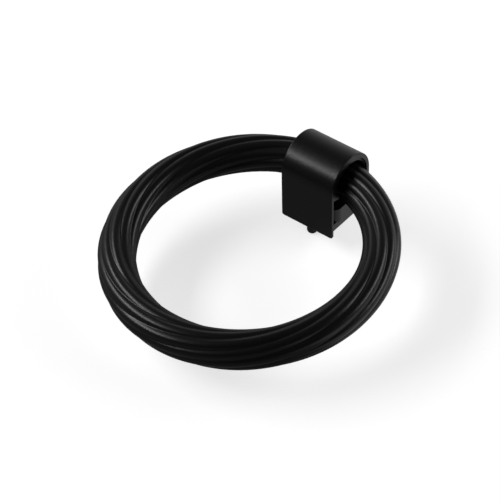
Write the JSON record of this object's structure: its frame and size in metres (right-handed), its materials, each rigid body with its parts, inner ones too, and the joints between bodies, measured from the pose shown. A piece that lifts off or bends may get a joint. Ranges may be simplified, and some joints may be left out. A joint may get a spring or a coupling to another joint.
{
  "type": "ring pull handle",
  "caption": "Drop ring pull with a twisted fluted ring hung in a short arched saddle that is screwed on from behind the drawer or door front.",
  "frame": {"origin": "centre of the saddle's base, on the axis of the screw hole, in the plane of the drawer or door front", "axes": "+Z away from the drawer front, X along the line the ring swings about, and the ring lies towards -Y when it is folded down"},
  "size_m": [0.0698, 0.0712, 0.0234],
  "materials": {
    "black_coat": "satin black powder coat with a fine texture"
  },
  "bodies": {
    "saddle": {"saddle_body": "black_coat", "base_plug": "black_coat"},
    "ring": {"pull_ring": "black_coat"}
  },
  "joints": [
    {"name": "ring_swing", "type": "hinge", "parent": "saddle", "child": "ring", "pos_m": [0, 0.00089, 0.01236], "axis": [-1, 0, 0], "range_deg": [-1.5, 190]}
  ]
}
